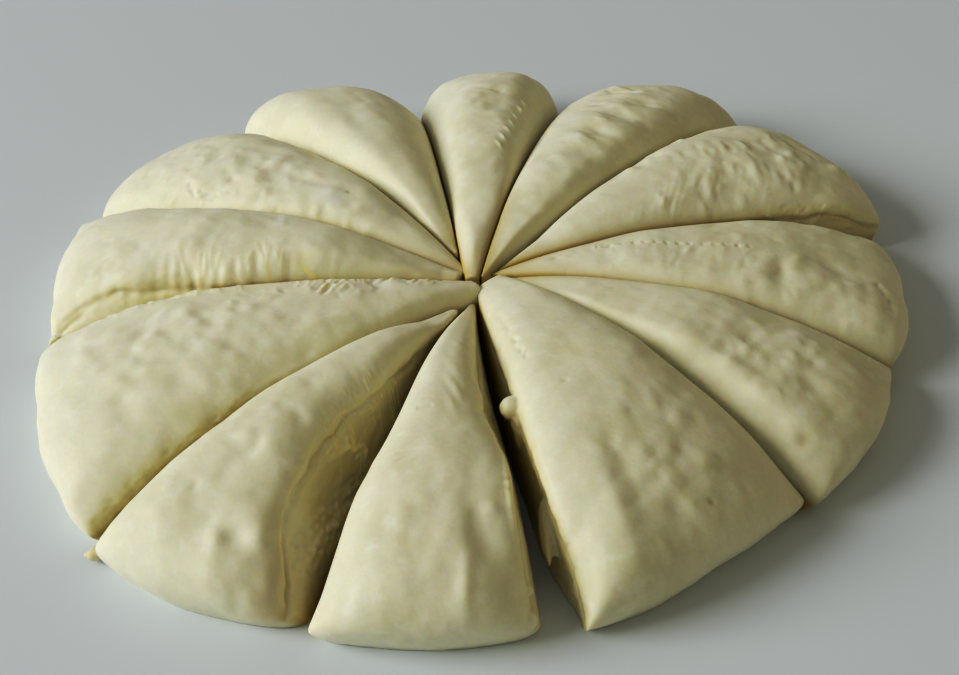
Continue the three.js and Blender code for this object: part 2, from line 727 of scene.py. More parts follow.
@dataclass
class DoughWedge:
    """One wedge of the round.

    Args:
        number: Its number, clockwise from the far side.
        form: Its measures.
        start: The cut on its clockwise side.
        end: The cut on its other side.
        wear: What has happened to it.
    """

    number: int
    form: WedgeForm
    start: Cut
    end: Cut
    wear: Wear

    @property
    def name(self) -> str:
        """The name of its piece."""
        return f"dough_wedge_{self.number:02d}"

    @property
    def node(self) -> str:
        """The CAD node that it stands for."""
        return f"wedge_{self.number:02d}"

    def lengthwise(self, reach: np.ndarray, along: np.ndarray) -> tuple[np.ndarray, ...]:
        """Follows the back of the wedge from its tip to the rim.

        Args:
            reach: How far the wedge reaches there.
            along: The share of the way, from 0 to 1.

        Returns:
            The radius, how far the back has risen, and how level it still is.
        """
        tip_radius = self.form.tip[0]
        roll_radius = reach * ROLL_START
        rise = np.clip(along / ROLL_START, 0, 1)
        turn = np.clip((along - ROLL_START) / (1 - ROLL_START), 0, 1) * math.pi / 2
        blunt = 2 / self.form.fullness
        rolled = roll_radius + (reach - roll_radius) * np.sin(turn) ** blunt
        radius = np.where(along < ROLL_START, tip_radius + (roll_radius - tip_radius) * rise, rolled)
        return radius, np.sin(rise * math.pi / 2), np.maximum(np.cos(turn), 0) ** blunt

    def crest(self, side: np.ndarray, along: np.ndarray, radius: np.ndarray,
              lift: np.ndarray, level: np.ndarray) -> np.ndarray:
        """Gives the height of the skin.

        Args:
            side: The places across the wedge, from -1 to 1.
            along: The share of the way from tip to rim.
            radius: The distance from the crossing.
            lift: How far the back has risen.
            level: How level the back still is.

        Returns:
            The heights.
        """
        form = self.form
        settled = form.tip[1] / form.crown
        back = form.crown * (settled + (1 - settled) * lift)
        back = SHOULDER_HEIGHT + (back - SHOULDER_HEIGHT) * level
        first, last = self.start.after.edge.at(radius), self.end.before.edge.at(radius)
        spread = np.radians(self.end.angle - self.start.angle)
        width = np.clip(radius * spread + self.end.shift - self.start.shift, 0, WIDE_BACK)
        back = np.maximum(back, np.maximum(first, last) + NARROW_CROWN * width * level)
        ridge = form.ridge[0] + (form.ridge[1] - form.ridge[0]) * along
        flank = side >= ridge
        from_ridge = np.minimum(1, np.abs(side - ridge) / np.where(flank, 1 - ridge, 1 + ridge))
        softness = RIDGE_SOFTNESS * (2 - along)
        from_ridge = (np.hypot(from_ridge, softness) - softness) / (np.hypot(1, softness) - softness)
        edge = np.where(flank, last, first)
        fall = np.where(flank, form.fall[1], form.fall[0]) + RIM_FULLNESS * along**3
        return edge + (back - edge) * np.sqrt(1 - from_ridge**fall)

    def place(self, block: np.ndarray) -> np.ndarray:
        """Draws the points of a block out into the wedge.

        Args:
            block: Places in the block: across from -1 to 1, along from 0 to 1, up from 0 to 1.

        Returns:
            The points, in millimetres from the crossing.
        """
        side = np.sin(block[:, 0] * math.pi / 2)
        along, up = block[:, 1], block[:, 2]
        radius, lift, level = self.lengthwise(self.form.reach_at(side), along)
        top = self.crest(side, along, radius, lift, level)
        angle = self.start.angle + (self.end.angle - self.start.angle) * (side + 1) / 2
        tuck = FOOT_TUCK * (1 - up) ** 2 * along
        plan = heading(angle) * (radius - tuck)[:, None]
        start_back = HALF_GAP + self.start.after.set_back(radius, up)
        end_back = HALF_GAP + self.end.before.set_back(radius, up)
        start_move = heading(self.start.angle + 90) * (self.start.shift + start_back)[:, None]
        end_move = heading(self.end.angle + 90) * (self.end.shift - end_back)[:, None]
        share = ((side + 1) / 2)[:, None]
        plan += start_move * (1 - share) + end_move * share
        return np.column_stack([plan, top * up])

    def plane_depth(self, points: np.ndarray, side: CutSide) -> np.ndarray:
        """Measures how deep points lie behind the straight line of a cut."""
        cut = self.sides(side)[0]
        return side.value * (points[:, :2] @ heading(cut.angle + 90) - cut.shift)

    def sides(self, side: CutSide) -> tuple[Cut, CutFace, CutFace]:
        """Gives a cut of this wedge, how the wedge stands along it, and how its neighbour does."""
        if side is CutSide.CLOCKWISE:
            return self.start, self.start.after, self.start.before
        return self.end, self.end.before, self.end.after

    def face_depth(self, points: np.ndarray, side: CutSide) -> np.ndarray:
        """Measures how deep points lie behind a cut face, where the face really stands."""
        cut, face, _ = self.sides(side)
        out = points[:, :2] @ heading(cut.angle)
        return self.plane_depth(points, side) - HALF_GAP - face.stands_back(out, points[:, 2])

    def below_edge(self, points: np.ndarray, side: CutSide) -> np.ndarray:
        """Measures how far points lie below the skin edge of a cut face."""
        cut, face, _ = self.sides(side)
        return face.edge.at(points[:, :2] @ heading(cut.angle)) - points[:, 2]

    def below_neighbour(self, points: np.ndarray, side: CutSide) -> np.ndarray:
        """Measures how far points lie below the lower skin edge of the two along a cut."""
        cut, face, other = self.sides(side)
        out = points[:, :2] @ heading(cut.angle)
        return np.minimum(face.edge.at(out), other.edge.at(out)) - points[:, 2]


@dataclass
class DoughBlock:
    """The even block of faces that every wedge is drawn from.

    Args:
        across: How many faces it has across.
        along: How many it has from tip to rim.
        up: How many it has in height.
    """

    across: int = 64
    along: int = 120
    up: int = 28

    def build(self) -> bpy.types.Mesh:
        """Divides a cube evenly along its three directions."""
        cells = bmesh.new()
        bmesh.ops.create_cube(cells, size=2.0)
        for axis, count in enumerate((self.across, self.along, self.up)):
            edges = []
            for edge in cells.edges:
                run = edge.verts[0].co - edge.verts[1].co
                if abs(run[axis]) > 0.5 * run.length:
                    edges.append(edge)
            bmesh.ops.subdivide_edges(cells, edges=edges, cuts=count - 1, use_grid_fill=True)
        mesh = bpy.data.meshes.new("dough_block")
        cells.to_mesh(mesh)
        cells.free()
        return mesh

    @staticmethod
    def places(mesh: bpy.types.Mesh) -> np.ndarray:
        """Reads where the points of the block are: across -1 to 1, along 0 to 1, up 0 to 1."""
        points = read_vectors(mesh.vertices, "co")
        return np.column_stack([points[:, 0], (points[:, 1] + 1) / 2, (points[:, 2] + 1) / 2])


@dataclass
class NodeSketch:
    """Short ways to lay out shader nodes.

    Args:
        tree: The node tree that they go into.
    """

    tree: bpy.types.NodeTree

    def add(self, kind: str, **settings: object) -> bpy.types.Node:
        """Adds a node and sets its properties."""
        node = self.tree.nodes.new(kind)
        for name, value in settings.items():
            setattr(node, name, value)
        return node

    def join(self, output: Socket, target: Socket) -> None:
        """Links an output to an input."""
        self.tree.links.new(output, target)

    def noise(self, place: Socket, size: float, detail: float = 3.0, roughness: float = 0.5) -> Socket:
        """Adds noise whose blotches have a size in millimetres."""
        node = self.add("ShaderNodeTexNoise")
        node.inputs["Scale"].default_value = 1 / (size * MILLIMETRE)
        node.inputs["Detail"].default_value = detail
        node.inputs["Roughness"].default_value = roughness
        self.join(place, node.inputs["Vector"])
        return node.outputs["Fac"]

    def span(self, value: Socket, start: float, end: float, low: float = 0.0, high: float = 1.0) -> Socket:
        """Maps start to low and end to high, smoothly, and holds them beyond."""
        node = self.add("ShaderNodeMapRange", interpolation_type="SMOOTHSTEP")
        for name, number in zip(("From Min", "From Max", "To Min", "To Max"), (start, end, low, high)):
            node.inputs[name].default_value = number
        self.join(value, node.inputs["Value"])
        return node.outputs["Result"]

    def count(self, operation: str, first: Socket, second: Socket | float) -> Socket:
        """Does a sum with two values."""
        node = self.add("ShaderNodeMath", operation=operation)
        self.join(first, node.inputs[0])
        if isinstance(second, float):
            node.inputs[1].default_value = second
        else:
            self.join(second, node.inputs[1])
        return node.outputs["Value"]

    def blend(self, share: Socket, first: Socket | Colour, second: Socket | Colour) -> Socket:
        """Mixes two colours, given as sockets or as numbers."""
        node = self.add("ShaderNodeMix", data_type="RGBA")
        self.join(share, node.inputs["Factor"])
        colours = [socket for socket in node.inputs if socket.type == "RGBA"]
        for socket, colour in zip(colours, (first, second)):
            if isinstance(colour, tuple):
                socket.default_value = (*colour, 1.0)
            else:
                self.join(colour, socket)
        return next(socket for socket in node.outputs if socket.type == "RGBA")

    def attribute(self, name: str) -> Socket:
        """Reads a value that the mesh keeps for each point."""
        return self.add("ShaderNodeAttribute", attribute_name=name).outputs["Fac"]


@dataclass(frozen=True)
class DoughFinish:
    """The matt, slightly moist look of raw dough.

    Args:
        skin: The colour of the skin.
        dull: The colour of its duller patches.
        dusty: The colour of its dry, floury patches.
        cut: The colour of fresh cut faces.
        deep: Painted shade: the colour low down on a torn cut face, between the wedges.
        moist: The colour where wet dough has been pulled up.
        pale: A bluish white: painted highlight on glossy spots, and paler patches.
        brown: The colour of dark specks, and of painted shade in dents and low on cut faces.
        crease: The colour of painted shade deep in the cuts and under torn skin edges.
        roughness: How rough dry skin and wet dough are.
        grain_height: How far the fine grain stands up, in millimetres.
        scatter: How far red, green and blue light spread in the dough, in millimetres.
    """

    skin: Colour = (0.83, 0.812, 0.622)
    dull: Colour = (0.765, 0.745, 0.535)
    dusty: Colour = (0.855, 0.845, 0.675)
    cut: Colour = (0.82, 0.775, 0.51)
    # Painted shade low on torn cut faces
    deep: Colour = (0.66, 0.575, 0.27)
    moist: Colour = (0.86, 0.80, 0.46)
    # Partly a painted highlight
    pale: Colour = (0.82, 0.84, 0.77)
    # Partly painted shade
    brown: Colour = (0.50, 0.37, 0.17)
    # Painted shade deep in the cuts
    crease: Colour = (0.50, 0.37, 0.085)
    roughness: Place = (0.56, 0.38)
    grain_height: float = 0.35
    scatter: Colour = (1.7, 1.275, 0.68)

    def mottle(self) -> bpy.types.ShaderNodeTree:
        """Makes the group that says where the skin is dull, where dusty and where flecked."""
        group = bpy.data.node_groups.new("dough_mottle", "ShaderNodeTree")
        group.interface.new_socket("Place", in_out="INPUT", socket_type="NodeSocketVector")
        for name in ("Dull", "Dusty", "Flecks"):
            group.interface.new_socket(name, in_out="OUTPUT", socket_type="NodeSocketFloat")
        sketch = NodeSketch(group)
        place = sketch.add("NodeGroupInput").outputs["Place"]
        end = sketch.add("NodeGroupOutput")
        broad = sketch.noise(place, 24, 3)
        middle = sketch.noise(place, 7, 4, 0.6)
        fine = sketch.noise(place, 1.6, 3, 0.6)
        sketch.join(sketch.span(broad, 0.45, 0.68), end.inputs["Dull"])
        sketch.join(sketch.span(middle, 0.48, 0.72), end.inputs["Dusty"])
        sketch.join(sketch.span(fine, 0.30, 0.70), end.inputs["Flecks"])
        return group

    def grain(self) -> bpy.types.ShaderNodeTree:
        """Makes the group that gives the fine unevenness of skin and of torn dough."""
        group = bpy.data.node_groups.new("dough_grain", "ShaderNodeTree")
        group.interface.new_socket("Place", in_out="INPUT", socket_type="NodeSocketVector")
        group.interface.new_socket("Torn", in_out="INPUT", socket_type="NodeSocketFloat")
        group.interface.new_socket("Height", in_out="OUTPUT", socket_type="NodeSocketFloat")
        sketch = NodeSketch(group)
        start = sketch.add("NodeGroupInput")
        end = sketch.add("NodeGroupOutput")
        skin = sketch.noise(start.outputs["Place"], 2.6, 4, 0.55)
        torn = sketch.noise(start.outputs["Place"], 1.5, 5, 0.65)
        pores = sketch.add("ShaderNodeTexVoronoi", feature="F1")
        pores.inputs["Scale"].default_value = 1 / (2.4 * MILLIMETRE)
        sketch.join(start.outputs["Place"], pores.inputs["Vector"])
        pitted = sketch.count("MULTIPLY", sketch.span(pores.outputs["Distance"], 0.0, 0.35), 0.8)
        rough = sketch.count("ADD", torn, pitted)
        more = sketch.count("MULTIPLY", rough, start.outputs["Torn"])
        sketch.join(sketch.count("ADD", skin, more), end.inputs["Height"])
        return group

    def build(self) -> bpy.types.Material:
        """Makes the material."""
        material = bpy.data.materials.new("raw_dough")
        material.use_nodes = True
        sketch = NodeSketch(material.node_tree)
        shader = material.node_tree.nodes["Principled BSDF"]
        place = sketch.add("ShaderNodeTexCoord").outputs["Object"]
        mottle = sketch.add("ShaderNodeGroup", node_tree=self.mottle())
        sketch.join(place, mottle.inputs["Place"])
        cut_face = sketch.attribute("cut_face")
        colour = sketch.blend(mottle.outputs["Dull"], self.skin, self.dull)
        colour = sketch.blend(mottle.outputs["Dusty"], colour, self.dusty)
        shade = sketch.span(mottle.outputs["Flecks"], 0.0, 1.0, 0.0, 0.3)
        colour = sketch.blend(shade, colour, self.dull)
        torn = sketch.noise(place, 3.2, 4, 0.6)
        inner = sketch.blend(sketch.span(torn, 0.35, 0.7), self.cut, self.moist)
        colour = sketch.blend(cut_face, colour, inner)
        # Painted shade: browner low down on torn cut faces
        colour = sketch.blend(sketch.attribute("deep"), colour, self.deep)
        # The pale tint is partly a painted highlight, the brown tint partly painted shade
        for name in Tint:
            colour = sketch.blend(sketch.attribute(name.value), colour, getattr(self, name.value))
        # Painted shade deep in the cuts and under torn skin edges
        shadow = sketch.count("MULTIPLY", sketch.attribute("crease"), 0.95)
        colour = sketch.blend(shadow, colour, self.crease)
        sketch.join(colour, shader.inputs["Base Color"])
        wet = sketch.count("MAXIMUM", cut_face, sketch.attribute("moist"))
        sketch.join(sketch.span(wet, 0.0, 1.0, *self.roughness), shader.inputs["Roughness"])
        grain = sketch.add("ShaderNodeGroup", node_tree=self.grain())
        sketch.join(place, grain.inputs["Place"])
        sketch.join(cut_face, grain.inputs["Torn"])
        bump = sketch.add("ShaderNodeBump")
        bump.inputs["Strength"].default_value = 0.35
        bump.inputs["Distance"].default_value = self.grain_height * MILLIMETRE
        sketch.join(grain.outputs["Height"], bump.inputs["Height"])
        sketch.join(bump.outputs["Normal"], shader.inputs["Normal"])
        shader.inputs["Subsurface Weight"].default_value = 1.0
        shader.inputs["Subsurface Radius"].default_value = [part / self.scatter[0] for part in self.scatter]
        shader.inputs["Subsurface Scale"].default_value = self.scatter[0] * MILLIMETRE
        shader.inputs["Specular IOR Level"].default_value = 0.35
        return material


WEAR: dict[int, Wear] = {
    1: Wear(
        marks=(
            PitRow(((116, 80.6), (70, 83.8)), 8, (2.2, 0.75), -0.55, 112, 0.0, 11),
            Fold(((128, 79.5), (121, 78.0)), 0.8, 0.4),
            Blisters((105, 89), (26, 7), 88, 22, (1.5, 3.6), 0.3, 12),
            Dab((106, 86), (9, 6), -0.9, 85),
            Dab((122, 88), (12, 5), 0.7, 0),
            Fold(((119, 92), (117, 88), (115, 85)), 1.8, -0.3),
        ),
    ),
    2: Wear(
        marks=(
            Dab((131, 66), (9, 3.2), -0.9, 10),
            Dab((126, 62), (8, 2.6), 0.9, 0),
            Dab((122, 59), (9, 3.0), -1.0, -5),
            Dab((113, 62), (6, 3.0), 0.9, -20),
            Dab((106, 60.5), (7, 3.2), -1.1, -25),
            Dab((97, 63), (6, 3.2), 0.9, -30),
            Dab((90, 60.5), (6, 3.4), -1.1, -30),
            Dab((82, 64), (6, 3.0), 0.7, -30),
            Dab((75, 60), (6, 3.4), -0.8, -35),
            Dab((66, 63), (5, 3.0), 0.6, -35),
            Fold(((140, 69), (134, 65), (133, 61)), 1.6, 0.4),
            Fold(((137, 70), (131, 67), (129, 62)), 1.6, -0.4),
            Streaks((112, 60), (34, 10), 62, 5, 4.6, 0.1, 22),
            Blisters((112, 62), (32, 13), 60, 60, (1.4, 3.4), 0.34, 23, -30, (0.4, 0.8)),
        ),
    ),
    3: Wear(
        marks=(
            Streaks((112, 31), (38, 13), 31, -88, 5.2, 0.06, 31),
            Streaks((85, 28), (34, 10), 28, -100, 2.8, 0.04, 32),
            Dab((74, 30), (2.6, 1.6), 0.35, 60),
            Dab((75, 27.8), (2.6, 1.4), -0.22, 60),
            Dab((128, 37), (12, 7), -1.0, -60),
            Dab((112, 40), (10, 6), 0.6, 35),
            Dab((143, 23), (12, 5), 1.2, 23),
            Blisters((118, 34), (34, 17), 34, 90, (1.9, 4.2), 0.5, 33, -84, (0.4, 0.75)),
            Blisters((100, 47.5), (26, 4), 49, 16, (1.5, 3.2), 0.6, 35),
            Dab((146, 36), (2.6, 5.0), -1.3, 40),
            Dab((140, 41), (4.0, 4.0), 0.8, 40),
            Dab((151, 30), (4.0, 3.4), 0.9, 30),
        ),
    ),
    4: Wear(
        marks=(
            PitRow(((57, 14.0), (92, 8.8)), 10, (0.9, 0.8), 0.34, 80, 0.4, 41),
            PitRow(((42, 18.5), (54, 15.0)), 4, (0.8, 0.6), 0.25, 80, 0.4, 42),
            Dab((101.5, 2.3), (6.0, 3.6), -1.7, 80, tint=Tint.BROWN, stain=0.12),
            Dab((107, 5.0), (5.5, 2.4), 0.6, 60),
            Dab((113, 1.5), (3.6, 6.0), 0.5, 0),
            Dab((121, 5), (4.0, 6.0), -0.7, 30),
            Blisters((119, -1), (22, 13), 0, 46, (1.4, 3.8), 0.38, 43),
            Blisters((62, 7), (28, 8), 7, 40, (1.0, 2.6), 0.24, 46, 70, (0.4, 0.8)),
            Streaks((62, 5), (30, 7), 5, 80, 3.2, 0.06, 44),
            Fold(((134, 4), (138, 1), (137, -3)), 1.8, -0.6),
            Fold(((22, 19), (40, 17.5), (60, 16.0)), 1.2, -0.3, 0.4, 45),
        ),
    ),
    5: Wear(
        marks=(
            Blisters((103, -23), (22, 12), -20, 64, (1.3, 3.8), 0.38, 51),
            Dab((92, -20), (7, 5), -0.8, -10),
            Dab((106, -15), (5, 3.5), 0.7, 20, tint=Tint.PALE_AND_SHEEN, stain=0.35),
            Dab((121, -34.5), (2.6, 2.2), -0.6, 0, tint=Tint.BROWN, stain=0.35),
            Dab((117, -26), (8, 5), -0.7, -40),
            Dab((99.7, -28), (6, 3.2), -0.7, -30),
        ),
    ),
    6: Wear(
        marks=(
            Fold(((24.4, -76), (36, -75.5), (48, -75), (56, -74)), 1.0, -0.28, 0.4, 66),
            Dab((109, -66), (16, 4.5), -0.7, -68),
            Dab((118, -70), (14, 4.5), 1.0, -72),
            Dab((116, -75.5), (6.5, 5.0), -0.8, -75),
            Dab((104, -76), (6.0, 5.0), -0.4, -75),
            Dab((124, -63), (10, 6), -0.7, -66),
            Blisters((98, -54), (34, 16), -55, 40, (1.8, 4.6), 0.5, 61),
            Blisters((118, -62), (16, 8), -62, 14, (1.8, 3.6), 0.4, 62),
            Dab((122, -56), (1.3, 1.0), -0.4, 0, tint=Tint.BROWN, stain=0.4),
            Dab((70, -68), (1.2, 0.9), -0.3, 20),
        ),
        lumps=(
            Lump((67.2, -81.3), 31.3, (4.2, 3.7, 3.8), 40, 0),
            Lump((71.0, -80.4), 28.3, (4.4, 2.2, 2.6), -62, -36),
            Lump((74.0, -79.8), 25.0, (4.0, 1.9, 2.2), -75, -46),
            Lump((108.5, -79.5), 17.8, (10.0, 1.9, 3.4), -82, -40),
        ),
        swell=(0.35, 0.08, 0.04),
    ),
    7: Wear(
        marks=(
            PitRow(((88, -105.5), (98, -103.5)), 4, (1.5, 0.5), 0.28, 5, 0.4, 71),
            PitRow(((88, -102.8), (97, -100.8)), 4, (1.2, 0.5), 0.24, 5, 0.4, 72),
            Fold(((73, -105), (72, -100.5)), 0.8, -0.22),
            Fold(((77, -104), (75.5, -100)), 0.8, -0.22),
            Dab((119, -89.5), (9.0, 5.0), -1.8, -80),
            Dab((111, -88.0), (2.6, 2.0), 0.5),
            Dab((133, -91.5), (6.5, 2.4), 0.9, -92),
            Dab((100, -91), (12, 5), -0.6, -90),
            Dab((124, -101), (16, 6), 0.5, -101),
            Blisters((118, -100), (22, 14), -95, 24, (1.8, 4.4), 0.38, 73),
            Fold(((54, -91.3), (68, -88.7), (77, -87.3), (86, -84.8), (94, -85), (107, -85), (122, -84.6)),
                 1.0, 0.6, 0.12, 74, tint=Tint.MOIST, stain=0.5),
            Streaks((62, -95), (24, 6), -92, -60, 2.8, 0.05, 75),
            Fibres(((50, -92), (68, -89), (80, -87)), 10, (2.0, 4.0), -60, 0.2, 0.5, seed=76),
        ),
        lumps=(
            Lump((133.0, -83.6), 8.0, (2.6, 2.0, 3.0), 20, 0),
            Lump((127.0, -83.4), 14.0, (1.6, 1.2, 1.2), 10, 0),
        ),
        swell=(0.35, 0.1, 0.04),
    ),
    8: Wear(
        marks=(
            Blisters((118, -123), (34, 20), -124, 44, (1.8, 4.6), 0.75, 81),
            Dab((136.8, -119.6), (4.0, 3.0), -0.9, 80),
            Dab((110, -126), (4.5, 2.2), -0.6, 80),
            Dab((96, -121), (14, 5), -0.7, -118),
            Dab((122, -117), (6, 4), -0.7, -100),
            Fold(((77.5, -115.2), (81, -116.1), (86, -117.2), (92, -118.0), (97, -118.4)),
                 0.75, 0.5, 0.6, 82, tint=Tint.MOIST, stain=0.6),
            Streaks((74, -119), (20, 7), -118, -50, 2.6, 0.07, 83),
            Fibres(((56, -116), (68, -118.5), (78, -119.5), (90, -120.5)), 34, (2.2, 4.6), -48, 0.3,
                   seed=84, tint=Tint.MOIST, stain=0.35),
            Fibres(((79, -116.5), (90, -118.2)), 12, (2.0, 4.0), -95, 0.34,
                   seed=85, tint=Tint.MOIST, stain=0.5),
            Fold(((66, -112.4), (90, -113.6), (112, -113.6), (132, -113.2)), 1.3, 0.7, 0.4, 87),
            Fold(((76, -113.6), (98, -115.4), (118, -115.4), (134, -114.6)), 1.6, -0.6, 0.3, 88),
            # Painted shade at the foot of the cut face next to wedge 7
            Dab((136, -114.0), (14, 7), 0.0, -113, tint=Tint.BROWN, stain=0.4),
        ),
        lumps=(
            Lump((151.5, -138.8), 3.2, (3.4, 2.4, 2.2), 40, 10),
            Lump((151.0, -137.4), 5.4, (2.2, 1.8, 1.4), 90, 0),
            Lump((153.5, -139.4), 2.4, (1.6, 1.4, 1.2), 0, 0),
        ),
    ),
    9: Wear(
        marks=(
            Dab((87, -150), (4.5, 3.0), -0.8, -30),
            Dab((125, -151), (4.5, 3.2), -1.0, -20),
            Dab((107, -149), (6, 4), -0.7, -30),
            Streaks((40, -166), (36, 4.5), 15, 70, 2.2, 0.16, 91),
            Blisters((95, -160), (46, 14), 20, 90, (1.8, 4.8), 0.6, 92),
            Blisters((45, -168), (34, 5), 12, 40, (0.9, 2.2), 0.4, 97, -75, (0.35, 0.7)),
            Fibres(((14, -174), (40, -174.5), (62, -175)), 30, (2.5, 5.0), -82, 0.2, 0.5,
                   seed=93, tint=Tint.MOIST, stain=0.25),
            Fold(((88, -176.4), (100, -175.9), (112, -175.4), (130, -173.5)), 1.4, 0.4, 0.4, 94),
            Fold(((92, -175.0), (99, -174.2), (104, -174.6)), 1.3, -0.7, 0.5, 95),
            Fibres(((76, -176), (96, -175.5), (124, -174)), 16, (3.0, 6.5), -62, 0.28, 0.8,
                   spread=1.2, seed=96),
        ),
        lumps=(
            Lump((143.6, -164.0), 15.0, (3.0, 2.4, 2.4), 30, 0),
            Lump((145.2, -161.0), 8.0, (3.2, 2.6, 2.8), 30, 0),
        ),
    ),
    10: Wear(
        marks=(
            Streaks((78, 183), (52, 8), 0, 92, 3.0, 0.05, 101),
            Streaks((100, 178), (36, 14), 0, 88, 4.8, 0.08, 102),
            Dab((58, 179), (3.4, 2.6), -0.7, 0, tint=Tint.MOIST, stain=0.3),
            # Painted highlight: a small glossy spot
            Dab((70, 160.5), (4.6, 1.6), 0.3, 94, tint=Tint.PALE_AND_SHEEN, stain=0.9),
            Dab((93.5, 181.6), (3.6, 1.3), -0.8, 118, tint=Tint.BROWN, stain=0.3),
            Dab((104, 182.0), (14, 3.4), 0.2, 0, tint=Tint.MOIST, stain=0.6),
            Dab((86, 180.6), (4.5, 1.7), -0.4, 95),
            Dab((80, 181.2), (4.0, 1.6), -0.4, 92, tint=Tint.BROWN, stain=0.2),
            Dab((72.8, 179.6), (5.0, 1.7), -0.4, 90),
            Dab((62, 181.0), (4.0, 1.7), -0.4, 88),
            Blisters((105, 172), (36, 16), 0, 40, (1.4, 3.4), 0.3, 103),
            Fibres(((50, 180.6), (75, 180.6), (98, 180.4)), 20, (4.0, 9.0), 92, 0.18, 0.8,
                   spread=1.0, seed=104, tint=Tint.MOIST, stain=0.3),
        ),
        lumps=(Lump((142.0, -177.6), 8.0, (2.4, 2.2, 3.2), 0, 0),),
        strands=(
            Strand(((69.6, -179.9, 37.0), (69.0, -179.0, 35.4), (68.8, -178.0, 32.0)), 0.65),
            Strand(((59.0, -179.8, 36.2), (56.5, -178.9, 35.2), (53.5, -177.8, 32.6)), 0.65),
            Strand(((56.5, -179.2, 35.6), (54.2, -178.4, 33.6), (52.0, -177.6, 31.0)), 0.6),
        ),
    ),
    11: Wear(
        marks=(
            Blisters((105, 151), (24, 8), 150, 44, (1.0, 2.6), 0.45, 111),
            Blisters((105, 142), (34, 14), 143, 50, (1.8, 4.4), 0.5, 113),
            Fold(((117, 152), (112, 153), (100, 153)), 1.3, -0.3, 0.6),
            Dab((58, 140), (0.9, 0.8), -0.3, 0, tint=Tint.BROWN, stain=0.3),
            Dab((62, 146), (6, 3.4), 0.2, 150, tint=Tint.PALE_AND_SHEEN, stain=0.6),
            Blisters((70, 143), (34, 9), 143, 40, (1.2, 3.2), 0.45, 112),
        ),
    ),
    12: Wear(
        marks=(
            Dab((66, 110), (16, 8), -0.5, 112),
            Blisters((100, 113), (30, 16), 113, 26, (2.0, 4.8), 0.3, 121),
        ),
        swell=(0.35, 0.08, 0.04),
    ),
}


